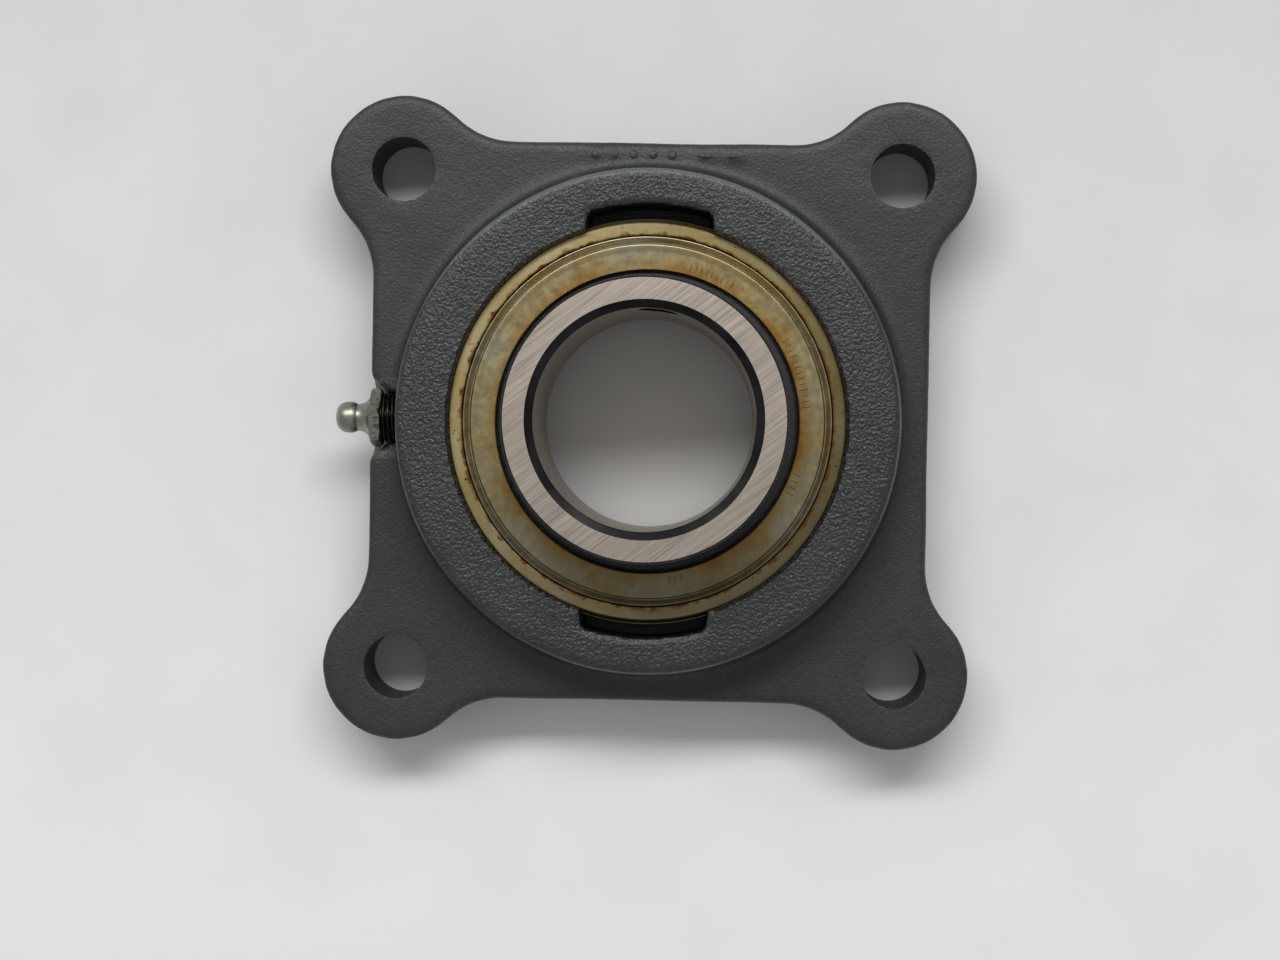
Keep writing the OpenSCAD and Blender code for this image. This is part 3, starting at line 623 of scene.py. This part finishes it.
def castHousing(look):
    obj = bpy.data.objects.new("castHousing", frame["nodes"]["housing"].data.copy())
    bpy.context.scene.collection.objects.link(obj)
    tidyMesh(obj)
    modifier = obj.modifiers.new("cast", "REMESH")
    modifier.mode = "VOXEL"
    modifier.voxel_size = look["voxel"] * mm
    bpy.context.view_layer.update()
    bakeModifiers(obj)
    mesh = obj.data
    count = len(mesh.vertices)
    points = np.empty(count * 3)
    mesh.vertices.foreach_get("co", points)
    points = points.reshape(-1, 3) / mm
    edges = np.empty(len(mesh.edges) * 2, dtype=np.int64)
    mesh.edges.foreach_get("vertices", edges)
    edges = edges.reshape(-1, 2)
    near, stock, middle, top = look["near"], look["stock"], centreHeight / mm, housingHigh.z / mm
    centre = np.array([0, 0, middle])
    mouthHeight, outerMouth = look["mouth"]

    # Walls of the openings are moved in, to leave stock for the cutters
    distance = np.linalg.norm(points - centre, axis=1)
    radius = np.hypot(points[:, 0], points[:, 1])
    cone = outerMouth - (top - points[:, 2])
    onSeat = (np.abs(distance - look["seatRadius"]) < near) & (points[:, 2] < mouthHeight)
    onMouth = (np.abs(radius - cone) < near) & (points[:, 2] >= mouthHeight)
    opened = onSeat | onMouth
    points[opened, :2] *= (1 - stock / radius[opened])[:, None]
    holeAxis = np.sign(points[:, :2]) * boltReach / mm
    holeOffset = points[:, :2] - holeAxis
    holeDistance = np.linalg.norm(holeOffset, axis=1)
    onHole = holeDistance < boltRadius / mm + 2 * near
    points[onHole, :2] -= holeOffset[onHole] / holeDistance[onHole][:, None] * stock
    onBack = points[:, 2] < near
    points[onBack, 2] = -look["backStock"]
    spotDistance = np.hypot(points[:, 1], points[:, 2] - middle)
    onSpot = (spotDistance < look["spotRadius"]) & (np.abs(points[:, 0] + look["spotFace"]) < near)
    points[onSpot, 0] = -look["spotFace"]
    slotHalf, slotStart, slotReach = look["slotArea"]
    inSlot = (np.abs(points[:, 0]) < slotHalf) & (np.abs(points[:, 1]) > slotStart)
    inSlot &= (radius < slotReach) & (points[:, 2] > middle - 1)

    # Cast faces: edges are rounded, less so round the boss and slots, then lumps and waves are raised
    fixed = opened | onHole | onBack | onSpot
    fromBoss = np.hypot(points[:, 0], points[:, 1]) - look["bossRadius"]
    rim = np.hypot(fromBoss, points[:, 2] - top) < look["rimReach"]
    slotFree, rimFree, castFree = look["rounding"]
    free = np.where(fixed, 0.0, np.where(inSlot, slotFree, np.where(rim, rimFree, castFree)))[:, None]
    points = smoothed(points, edges, free, look["softening"])
    mesh.vertices.foreach_set("co", (points * mm).ravel())
    mesh.update()
    normals = np.empty(count * 3)
    mesh.vertices.foreach_get("normal", normals)
    normals = normals.reshape(-1, 3)
    for index in np.flatnonzero(~fixed):
        spot = Vector(points[index])
        lump = noise.fractal(spot / look["lumpSize"], 1.0, 2.1, 3)
        wave = noise.noise(spot / look["waveSize"])
        rise = lump * look["lumpHeight"] + wave * look["waveHeight"] - look["skinSink"]
        points[index] += normals[index] * rise
    points = np.clip(points, np.array(housingLow) / mm - (0, 0, look["backStock"]),
            np.array(housingHigh) / mm)
    mesh.vertices.foreach_set("co", (points * mm).ravel())
    mesh.update()
    for cutter in openingCutters(look):
        cutWith(obj, [cutter])
    mesh = obj.data

    # Machined faces are bare metal: 1 on the seat, its mouth and the back, 0.7 round the fitting
    centres = np.empty(len(mesh.polygons) * 3)
    mesh.polygons.foreach_get("center", centres)
    centres = centres.reshape(-1, 3) / mm
    distance = np.linalg.norm(centres - centre, axis=1)
    radius = np.hypot(centres[:, 0], centres[:, 1])
    bare = np.abs(distance - look["seatRadius"]) < 0.05
    bare |= np.abs(radius - outerMouth + top - centres[:, 2]) < 0.05
    bare |= centres[:, 2] < 0.05
    spotDistance = np.hypot(centres[:, 1], centres[:, 2] - middle)
    inFitting = (spotDistance < look["spotRadius"] + near) & (centres[:, 0] < 10 - look["spotFace"])
    bare = np.where(bare, 1.0, np.where(inFitting, 0.7, 0.0))
    mesh.attributes.new("finish", "FLOAT", "FACE").data.foreach_set("value", bare)
    mesh.update()
    print("casting:", len(mesh.vertices), "points,", len(mesh.polygons), "faces")
    return finishMesh(obj, "housing", "cast_housing", ["housing"], castPaint, sharp=36)


castHousing(housingLook)


# Numbers in this block are millimetres from the bearing's axis and from the middle of the balls
insertLook = {
    "sphereRadius": 42.5,
    "faceRadius": 40.75,
    "sealSeat": 38.315,
    "sealDepth": 3.4,
    "outerLand": 36.31,
    "innerLand": 28.6,
    "pitch": 32.5,
    "groove": 6.604,
    "ball": 6.35,
    "play": 0.04,
    "greaseGroove": (5.3, 7.5, 41.2),
    "boreBevel": (1.6, 1.0),
    "screwHole": 4.01,
}


def outerRing(look):
    half = halfWidth / mm
    sphere = look["sphereRadius"]
    low, high, floor = look["greaseGroove"]
    seat, land = look["sealSeat"], look["outerLand"]
    shoulder = half - look["sealDepth"]
    grooveCentre = look["pitch"] + look["ball"] + look["play"] - look["groove"]
    opening = math.degrees(math.acos((land - grooveCentre) / look["groove"]))
    edgeHeight = math.degrees(math.asin((half - 0.35) / sphere))

    def angle(height):
        return math.degrees(math.asin(height / sphere))

    outline = arcPoints((0, 0), sphere, -edgeHeight, angle(low), 26)
    outline += [(floor, low), (floor, high)]
    outline += arcPoints((0, 0), sphere, angle(high), edgeHeight, 10)
    outline += [(look["faceRadius"] + 0.12, half - 0.08), (look["faceRadius"], half), (seat + 0.25, half),
            (seat + 0.06, half - 0.06), (seat, half - 0.25), (seat, shoulder), (land + 0.2, shoulder),
            (land, shoulder - 0.2)]
    outline += arcPoints((grooveCentre, 0), look["groove"], opening, -opening, 28)
    outline += [(land, -shoulder + 0.2), (land + 0.2, -shoulder), (seat, -shoulder), (seat, -half + 0.25),
            (seat + 0.06, -half + 0.06), (seat + 0.25, -half), (look["faceRadius"], -half),
            (look["faceRadius"] + 0.12, -half + 0.08)]
    obj = lathe("outerRing", outline, 224)
    cutters = []
    middle = Matrix.Translation((0, 0, centreHeight + (low + high) / 2 * mm))
    for side in (-1, 1):
        drill = lathe("greaseDrill", [(0, land - 2), (0.7, land - 2), (0.7, floor + 1), (0, floor + 1)], 24,
                middle @ Matrix.Rotation(side * math.pi / 2, 4, "Y"))
        cutters.append(drill)
    cutWith(obj, cutters)
    return finishMesh(obj, "insert", "bearing_ring", ["outer_ring"], strawSteel)


def innerRing(look):
    back = (innerLow.z - centreHeight) / mm
    front = (innerHigh.z - centreHeight) / mm
    bore, land = boreRadius / mm, look["innerLand"]
    across, along = look["boreBevel"]
    grooveCentre = look["pitch"] - look["ball"] - look["play"] + look["groove"]
    opening = math.degrees(math.acos((grooveCentre - land) / look["groove"]))
    corners = [(bore, back + along, 0.3), (bore + across, back, 0.12), (land - 0.45, back, 0.1),
            (land, back + 0.5, 0.2)]
    race = [(x, y, 0) for x, y in arcPoints((grooveCentre, 0), look["groove"], 180 + opening, 180 - opening,
            28)]
    nose = [(land, front - 0.5, 0.2), (land - 0.4, front, 0.1), (bore + across, front, 0.12),
            (bore, front - along, 0.3)]
    outline = rounded(corners + race + nose)

    def finish(a, b):  # 1 on ground faces, 0.5 in the honed bore, 0 on the black bevels
        middle = ((a[0] + b[0]) / 2, (a[1] + b[1]) / 2)
        if abs(a[1] - b[1]) < 1e-4 and middle[0] > bore + across:
            return 1.0
        if abs(a[0] - b[0]) < 1e-4 and middle[0] < bore + 0.01:
            return 0.5
        return 1.0 if middle[0] > look["innerLand"] - 0.02 or abs(middle[1]) < 6 else 0.0

    obj = lathe("innerRing", outline, 224, finish=finish)
    cutters = []
    for name in ("set_screw_1_travel", "set_screw_2_travel"):
        out = -Vector(joints[name]["axis"])
        low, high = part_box(name.replace("_travel", ""))
        height = (low.z + high.z) / 2
        turn = Matrix.Rotation(math.atan2(out.y, out.x), 4, "Z") @ Matrix.Rotation(math.pi / 2, 4, "Y")
        hole = look["screwHole"]
        sink = [(0, bore - 3), (hole, bore - 3), (hole, land - 0.35), (hole + 1.2, land + 0.85),
                (hole + 1.2, land + 3), (0, land + 3)]
        cutters.append(lathe("screwDrill", sink, 64, Matrix.Translation((0, 0, height)) @ turn))
    cutWith(obj, cutters)
    return finishMesh(obj, "inner_ring", "ground_ring", ["inner_ring"], groundSteel)


outerRing(insertLook)
innerRing(insertLook)
print("rings turned")


sealLook = {
    "thickness": 0.6,
    "capSteps": 72,
    "hollow": 0.28,    # depth of the hollow, height of the bead and depth of the flat, from the rim
    "ridge": 0.04,
    "flatDrop": 0.05,
    "edge": 31.3,   # inner edge of the steel cap
    "lip": 28.65,
    "curlHeight": 0.5,
    "washer": 0.475,
    "capInner": 30.5,
}


def mirrored(obj):  # turns a front seal piece into its back twin
    obj.data.transform(Matrix.Translation((0, 0, 2 * centreHeight)) @ Matrix.Scale(-1, 4, (0, 0, 1)))
    obj.data.flip_normals()
    return obj


def eased(value, start, end):  # smooth step from 0 to 1
    share = min(1, max(0, (value - start) / (end - start)))
    return share * share * (3 - 2 * share)


def shroudCap(name, look):  # rolled rim, shallow hollow, bead, flat and turned-in edge
    seat = insertLook["sealSeat"]
    face = halfWidth / mm - 0.5
    reach = seat - look["edge"]
    top = []
    for inward in np.linspace(0, reach, look["capSteps"]):
        rim = -0.45 * (1 - math.sqrt(1 - max(0, 1 - inward / 0.4) ** 2))
        valley = -look["hollow"] * eased(inward, 0.35, 1.6)
        bead = (look["hollow"] + look["ridge"]) * eased(inward, 1.55, 1.95)
        flat = -(look["ridge"] + look["flatDrop"]) * eased(inward, 2.1, 3.4)
        edge = -0.3 * (1 - math.sqrt(1 - max(0, 1 - (reach - inward) / 0.3) ** 2))
        top.append((seat - inward, face + rim + valley + bead + flat + edge))
    under = [(x, y - look["thickness"]) for x, y in reversed(top)]
    return lathe(name, top + under, 224)


def sealWasher(name, look):
    low = halfWidth / mm - insertLook["sealDepth"] + 0.65
    top = low + look["washer"]
    lip, land = look["lip"], insertLook["innerLand"]
    curl = top + look["curlHeight"]
    outline = rounded([(insertLook["sealSeat"] - 1.6, low, 0.1), (insertLook["sealSeat"] - 1.6, top, 0.1),
            (land + 2.9, top, 0.3), (land + 1.9, curl, 0.3), (lip + 0.35, curl, 0.25),
            (lip, curl - 0.3, 0.15), (lip, low + 0.2, 0.15), (lip + 0.5, low, 0.15)])
    return lathe(name, outline, 160)


def innerCap(name, look):
    seat = insertLook["sealSeat"]
    low = halfWidth / mm - insertLook["sealDepth"]
    rim = low + insertLook["sealDepth"] - 1.6
    outline = rounded([(look["capInner"], low, 0.12), (seat, low, 0.3), (seat, rim, 0.15),
            (seat - 0.6, rim, 0.15), (seat - 0.6, low + 0.6, 0.25), (look["capInner"], low + 0.6, 0.12)])
    return lathe(name, outline, 160)


for make, node, slotName, material in ((shroudCap, "shroud_cap", "seal_steel", pressedSteel),
        (sealWasher, "seal_washer", "seal_rubber", rubber),
        (innerCap, "inner_cap", "seal_steel", pressedSteel)):
    for side in ("front", "back"):
        piece = make(side + "_" + node, sealLook)
        piece.name = side + make.__name__[0].upper() + make.__name__[1:]
        if side == "back":
            mirrored(piece)
        finishMesh(piece, "insert", slotName, [side + "_" + node], material)
print("seals pressed")


threadLook = {"setScrewPitch": 1.06, "fittingPitch": 0.94, "rowsPerTurn": 8, "segments": 64}


def threadedRod(name, radius, pitch, start, end, depth, taper=0.0, cut=0.5):  # closed rod, helical thread, mm
    rows = max(8, int((end - start) / pitch * threadLook["rowsPerTurn"]))
    segments = threadLook["segments"]
    verts = []
    for k in range(rows + 1):
        height = start + (end - start) * k / rows
        fade = min(1, (height - start) / cut, (end - height) / cut)
        for s in range(segments):
            angle = 2 * math.pi * s / segments
            phase = (height / pitch - s / segments) % 1
            crest = 1 - abs(2 * phase - 1) * 1.25
            bite = depth * min(1, max(0, crest)) if fade > 0 else depth
            r = radius - taper * (end - height) - bite - depth * 0.5 * (1 - max(0, fade))
            verts.append(Vector((r * math.cos(angle), r * math.sin(angle), height)) * mm)
    faces = []
    for k in range(rows):
        for s in range(segments):
            n = (s + 1) % segments
            faces.append((k * segments + s, k * segments + n, (k + 1) * segments + n, (k + 1) * segments + s))
    faces.append(tuple(range(segments))[::-1])
    faces.append(tuple(range(rows * segments, (rows + 1) * segments)))
    return meshObject(name, verts, faces)


screwLook = {"diameter": 7.9, "length": 5.6, "tip": 0.5, "socket": 4.0, "socketDepth": 2.8, "cup": 2.55}


def hexPrism(name, flats, low, high, turn=0.0):
    radius = flats / 2 / math.cos(math.pi / 6)
    ring = [(radius * math.cos(math.pi / 3 * k + turn),
            radius * math.sin(math.pi / 3 * k + turn)) for k in range(6)]
    verts = [Vector((x, y, z)) * mm for z in (low, high) for x, y in ring]
    faces = [tuple(range(6))[::-1], tuple(range(6, 12))] + [(k, (k + 1) % 6, 6 + (k + 1) % 6,
            6 + k) for k in range(6)]
    return meshObject(name, verts, faces)


def setScrew(index, look):
    name = f"set_screw_{index}"
    out = -Vector(joints[name + "_travel"]["axis"])
    low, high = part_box(name)
    start = boreRadius / mm + look["tip"]
    end = start + look["length"]
    obj = threadedRod(f"setScrew{index}", look["diameter"] / 2, threadLook["setScrewPitch"], start + 0.02,
            end, 0.42, cut=0.7)
    socket = hexPrism("socket", look["socket"], end - look["socketDepth"], end + 1)
    chamfer = lathe("socketMouth", [(0, end - 0.35), (look["socket"] / 2, end - 0.35),
            (look["socket"] / 2 + 0.8, end + 0.45), (0, end + 0.45)], 48, Matrix.Identity(4))
    cup = lathe("cupPoint", [(0, start - 1), (look["cup"], start - 1), (look["cup"], start),
            (look["cup"] - 0.7, start + 0.5), (0, start + 0.9)], 48, Matrix.Identity(4))
    cutWith(obj, [socket, chamfer, cup])
    tidyMesh(obj)
    turn = Matrix.Rotation(math.atan2(out.y, out.x), 4, "Z") @ Matrix.Rotation(math.pi / 2, 4, "Y")
    obj.data.transform(Matrix.Translation((0, 0, (low.z + high.z) / 2)) @ turn)
    return finishMesh(obj, name, "screw_steel", [name], blackOxide)


for index in (1, 2):
    setScrew(index, screwLook)
print("set screws threaded")


fittingLook = {
    "flats": 11.1,
    "hexTurn": 12,
    "thread": 5.1,
    "threadStart": 48.8,
    "hexStart": 56.2,
    "hexEnd": 58.4,
    "headStart": 61.4,
    "headRadius": 3.3,
    "neck": 2.8,
    "borer": 1.5,
    "orifice": 0.9,
}


def greaseFitting(look):
    tip = -fittingLow.x / mm
    neck, head = look["neck"], look["headRadius"]
    headStart = look["headStart"]
    flare = headStart - look["hexEnd"]
    flareLine = arcPoints((neck + flare, headStart), flare, 262, 180, 14)
    widest = headStart + 1.4
    crown = [(head - (head - neck) * (1 - s) ** 2, headStart + 1.4 * s) for s in np.linspace(0.06, 1, 8)]
    crown += [(head * (1 - u ** 2.6) ** (1 / 2.6), widest + (tip - widest) * u) for u in np.linspace(0.12,
            0.985, 14)]
    outline = [(0, look["hexEnd"] - 0.6), (4.9, look["hexEnd"] - 0.6),
            (5.25, look["hexEnd"] - 0.05)] + flareLine + crown
    outline += [(0, tip)]
    obj = lathe("greaseFittingBody", outline, 96, Matrix.Identity(4))
    hexagon = hexPrism("hexagon", look["flats"], look["hexStart"], look["hexEnd"],
            math.radians(look["hexTurn"]))
    corner = look["flats"] / 2 / math.cos(math.pi / 6)
    bevel = lathe("hexBevel", [(0, look["hexStart"] - 0.01), (corner - 0.5, look["hexStart"] - 0.01),
            (corner + 0.1, look["hexStart"] + 0.4), (corner + 0.1, look["hexEnd"] - 0.4),
            (corner - 0.55, look["hexEnd"] + 0.01), (0, look["hexEnd"] + 0.01)], 96, Matrix.Identity(4))
    cutWith(hexagon, [bevel], "INTERSECT")
    stem = threadedRod("stem", look["thread"], threadLook["fittingPitch"], look["threadStart"],
            look["hexStart"] + 0.3, 0.5, cut=0.4)
    cutWith(obj, [hexagon, stem], "UNION")
    drill = lathe("drill", [(0, look["threadStart"] - 1), (look["borer"], look["threadStart"] - 1),
            (look["borer"], tip - 0.7), (look["orifice"], tip - 0.7), (look["orifice"], tip - 0.12),
            (look["orifice"] + 0.3, tip + 0.2), (0, tip + 0.2)], 48, Matrix.Identity(4))
    cutWith(obj, [drill])
    tidyMesh(obj)
    obj.data.transform(atFitting)
    return finishMesh(obj, "housing", "zinc_steel", ["grease_fitting_body"], zinc, sharp=28)


greaseFitting(fittingLook)


def geometryTree(name, sizes):  # tree with one named number input for each size
    tree = bpy.data.node_groups.new(name, "GeometryNodeTree")
    identifiers = {}
    for key, value in sizes.items():
        kind = "NodeSocketInt" if isinstance(value, int) else "NodeSocketFloat"
        identifiers[key] = tree.interface.new_socket(key, in_out="INPUT", socket_type=kind).identifier
    tree.interface.new_socket("Geometry", in_out="OUTPUT", socket_type="NodeSocketGeometry")
    return tree, addNode(tree, "NodeGroupInput"), identifiers


def grow(name, tree, identifiers, sizes):  # runs the tree once and keeps its result as a plain mesh
    obj = meshObject(name, [], [])
    modifier = obj.modifiers.new("grow", "NODES")
    modifier.node_group = tree
    for key, value in sizes.items():
        modifier[identifiers[key]] = value
    bpy.context.view_layer.update()
    bakeModifiers(obj)
    return obj


springLow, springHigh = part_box("grease_fitting_spring")
springLook = {"turns": 9.0, "coilRadius": 1.02 * mm, "wireRadius": 0.18 * mm}
springLook["length"] = springHigh.x - springLow.x - 2 * springLook["wireRadius"]


def greaseSpring(look):
    tree, given, identifiers = geometryTree("coilSpring", look)
    coil = addNode(tree, "GeometryNodeCurveSpiral",
            {"Resolution": 28, "Rotations": given.outputs["turns"],
            "Start Radius": given.outputs["coilRadius"], "End Radius": given.outputs["coilRadius"],
            "Height": given.outputs["length"]})
    wire = addNode(tree, "GeometryNodeCurvePrimitiveCircle",
            {"Resolution": 10, "Radius": given.outputs["wireRadius"]})
    tube = addNode(tree, "GeometryNodeCurveToMesh",
            {"Curve": coil.outputs["Curve"], "Profile Curve": wire.outputs["Curve"], "Fill Caps": True})
    finish = addNode(tree, "GeometryNodeSetMaterial",
            {"Geometry": tube.outputs["Mesh"], "Material": springWire})
    real = addNode(tree, "GeometryNodeRealizeInstances", {"Geometry": finish.outputs["Geometry"]})
    addNode(tree, "NodeGroupOutput", {"Geometry": real.outputs["Geometry"]})
    obj = grow("greaseFittingSpring", tree, identifiers, look)
    tidyMesh(obj)
    end = Matrix.Translation((springHigh.x - look["wireRadius"], 0, centreHeight))
    obj.data.transform(end @ Matrix.Rotation(-math.pi / 2, 4, "Y"))
    return finishMesh(obj, "housing", "spring_steel", ["grease_fitting_spring"])


greaseSpring(springLook)
print("grease fitting made")


for node, material in (("ball_cage", nylon), ("grease_fitting_retainer", zinc),
        ("grease_fitting_ball", lappedBall), *[(f"ball_{k}", lappedBall) for k in range(1, 10)]):
    part = frame["nodes"][node]
    part.data.materials.clear()
    part.data.materials.append(material)


# Counts, and lengths in metres
marksLook = {"row": 56.05 * mm, "rise": 0.45 * mm, "pips": 5, "pipRadius": 1.1 * mm, "pipPitch": 4.0 * mm,
        "firstPip": -12 * mm, "bars": 2, "barLength": 3.4 * mm, "barWidth": 1.5 * mm, "barPitch": 6.0 * mm,
        "firstBar": 11 * mm}


def castingMarks(look):
    sizes = {key: look[key] for key in ("rise", "pips", "pipRadius", "pipPitch", "firstPip", "bars",
            "barLength", "barWidth", "barPitch", "firstBar")}
    tree, given, identifiers = geometryTree("castingMarks", sizes)
    dome = addNode(tree, "GeometryNodeMeshUVSphere", {"Segments": 20, "Rings": 12, "Radius": 1.0})
    joined = addNode(tree, "GeometryNodeJoinGeometry")
    for word, across, deep in (("pip", "pipRadius", "pipRadius"), ("bar", "barLength", "barWidth")):
        share = 1.0 if word == "pip" else 0.5
        wide = addNode(tree, "ShaderNodeMath", {0: given.outputs[across], 1: share}, operation="MULTIPLY")
        narrow = addNode(tree, "ShaderNodeMath", {0: given.outputs[deep], 1: share}, operation="MULTIPLY")
        size = addNode(tree, "ShaderNodeCombineXYZ",
                {"X": wide.outputs[0], "Y": narrow.outputs[0], "Z": given.outputs["rise"]})
        start = addNode(tree, "ShaderNodeCombineXYZ", {"X": given.outputs["first" + word.capitalize()]})
        step = addNode(tree, "ShaderNodeCombineXYZ", {"X": given.outputs[word + "Pitch"]})
        row = addNode(tree, "GeometryNodeMeshLine",
                {"Count": given.outputs[word + "s"], "Start Location": start.outputs["Vector"],
                "Offset": step.outputs["Vector"]}, mode="OFFSET")
        placed = addNode(tree, "GeometryNodeInstanceOnPoints",
                {"Points": row.outputs["Mesh"], "Instance": dome.outputs["Mesh"],
                "Scale": size.outputs["Vector"]})
        tree.links.new(placed.outputs["Instances"], joined.inputs["Geometry"])
    real = addNode(tree, "GeometryNodeRealizeInstances", {"Geometry": joined.outputs["Geometry"]})
    finish = addNode(tree, "GeometryNodeSetMaterial",
            {"Geometry": real.outputs["Geometry"], "Material": castPaint})
    addNode(tree, "NodeGroupOutput", {"Geometry": finish.outputs["Geometry"]})
    obj = grow("castingMarks", tree, identifiers, sizes)
    obj.data.transform(Matrix.Translation((0, look["row"], housingLook["flangeTop"] * mm)))
    return finishMesh(obj, "housing", "cast_housing", [])


castingMarks(marksLook)


# Rows of plain etched strokes on the front cap: count, angle of the first in degrees, degrees between them
ticksLook = {"radius": 32.9 * mm, "length": 1.5 * mm, "width": 0.13 * mm, "thick": 0.03 * mm,
        "rows": ((9, 59.0, 2.0), (13, 6.0, 2.1), (4, -26.0, 2.4), (3, -81.0, 2.2))}


def etchedTicks(look):
    rows = []
    for index, (count, first, step) in enumerate(look["rows"]):
        sizes = {"count": count, "first": math.radians(first), "step": math.radians(step),
                "radius": look["radius"], "length": look["length"], "width": look["width"],
                "thick": look["thick"]}
        tree, given, identifiers = geometryTree("etchedTicks", sizes)
        line = addNode(tree, "GeometryNodeMeshLine", {"Count": given.outputs["count"]})
        number = addNode(tree, "GeometryNodeInputIndex").outputs["Index"]
        turned = addNode(tree, "ShaderNodeMath",
                {0: number, 1: given.outputs["step"], 2: given.outputs["first"]},
                operation="MULTIPLY_ADD").outputs[0]
        cosine = addNode(tree, "ShaderNodeMath", {0: turned}, operation="COSINE")
        sine = addNode(tree, "ShaderNodeMath", {0: turned}, operation="SINE")
        way = addNode(tree, "ShaderNodeCombineXYZ", {"X": cosine.outputs[0], "Y": sine.outputs[0]})
        spot = addNode(tree, "ShaderNodeVectorMath",
                {0: way.outputs["Vector"], "Scale": given.outputs["radius"]}, operation="SCALE")
        points = addNode(tree, "GeometryNodeSetPosition",
                {"Geometry": line.outputs["Mesh"], "Position": spot.outputs[0]})
        size = addNode(tree, "ShaderNodeCombineXYZ",
                {"X": given.outputs["length"], "Y": given.outputs["width"], "Z": given.outputs["thick"]})
        stroke = addNode(tree, "GeometryNodeMeshCube", {"Size": size.outputs["Vector"]})
        turn = addNode(tree, "ShaderNodeCombineXYZ", {"Z": turned})
        placed = addNode(tree, "GeometryNodeInstanceOnPoints",
                {"Points": points.outputs["Geometry"], "Instance": stroke.outputs["Mesh"],
                "Rotation": turn.outputs["Vector"]})
        real = addNode(tree, "GeometryNodeRealizeInstances", {"Geometry": placed.outputs["Instances"]})
        finish = addNode(tree, "GeometryNodeSetMaterial",
                {"Geometry": real.outputs["Geometry"], "Material": etchedMark})
        addNode(tree, "NodeGroupOutput", {"Geometry": finish.outputs["Geometry"]})
        obj = grow(f"etchedTicks{index + 1}", tree, identifiers, sizes)
        flat = centreHeight + halfWidth - (0.5 + sealLook["flatDrop"]) * mm
        obj.data.transform(Matrix.Translation((0, 0, flat)))
        rows.append(finishMesh(obj, "insert", "seal_steel", []))
    return rows


etchedTicks(ticksLook)
print("marks made")


# Pale paper with painted shade darkening it towards the top, one wide soft light high beyond the upper edge, and
# an even sky
studio = {"paper": "#ebebea", "paperTopShade": "#cccccc", "keyPower": 11.0, "keyPlace": (-0.06, 0.65, 0.93),
        "keySize": (1.3, 0.24), "sky": "#efeff1", "skyStrength": 0.46}


def paperFloor():
    obj = meshObject("paperFloor", [(-1.5, -1.5, 0), (1.5, -1.5, 0), (1.5, 1.5, 0), (-1.5, 1.5, 0)],
            [(0, 1, 2, 3)])
    material, tree, shader, place = newMaterial("mattePaper", **{"IOR": 1.45, "Roughness": 0.85})
    fibre = addNode(tree, "ShaderNodeTexNoise", {"Vector": place, "Scale": perMillimetre(30), "Detail": 5.0})
    # painted shade: the paper's colour darkens towards the top
    along = addNode(tree, "ShaderNodeSeparateXYZ", {"Vector": place})
    amount = addNode(tree, "ShaderNodeMath", {0: fibre.outputs["Fac"], 1: 0.1, 2: along.outputs["Y"]},
            operation="MULTIPLY_ADD")
    fade = addNode(tree, "ShaderNodeMapRange",
            {"Value": amount.outputs[0], "From Min": -0.06, "From Max": 0.16})
    base = addNode(tree, "ShaderNodeMix", {0: fade.outputs["Result"], 6: hexLinear(studio["paper"]),
            7: hexLinear(studio["paperTopShade"])}, data_type="RGBA")
    tree.links.new(base.outputs[2], shader.inputs["Base Color"])
    obj.data.materials.append(material)
    obj.location.z = -0.0002


def areaLight(name, place, target, size, power, colour="#ffffff"):
    data = bpy.data.lights.new(name, "AREA")
    data.shape = "RECTANGLE"
    data.size, data.size_y = size
    data.energy = power
    data.color = hexLinear(colour)[:3]
    lamp = bpy.data.objects.new(name, data)
    lamp.location = place
    lamp.rotation_euler = (Vector(target) - Vector(place)).to_track_quat("-Z", "Y").to_euler()
    bpy.context.scene.collection.objects.link(lamp)


def mainCamera():
    data = bpy.data.cameras.new("camera")
    data.sensor_width = 36
    data.lens = 63.6
    data.clip_start = 0.01
    camera = bpy.data.objects.new("camera", data)
    place = Vector((12.5, -7.2, 491.6)) * mm
    target = Vector((-1.5, -12.2, 15.9)) * mm
    roll = math.radians(1.03)
    back = (place - target).normalized()
    right = Vector((math.cos(roll), math.sin(roll), 0))
    up = back.cross(right).normalized()
    right = up.cross(back)
    camera.matrix_world = Matrix.Translation(place) @ Matrix((right, up, back)).transposed().to_4x4()
    bpy.context.scene.collection.objects.link(camera)
    bpy.context.scene.camera = camera


paperFloor()
areaLight("keyLight", studio["keyPlace"], (0, 0, 0.02), studio["keySize"], studio["keyPower"])
world = bpy.data.worlds.new("studio")
world.use_nodes = True
world.node_tree.nodes["Background"].inputs["Color"].default_value = hexLinear(studio["sky"])
world.node_tree.nodes["Background"].inputs["Strength"].default_value = studio["skyStrength"]
bpy.context.scene.world = world
mainCamera()
bpy.context.scene.view_settings.view_transform = "Standard"
print("studio lit")
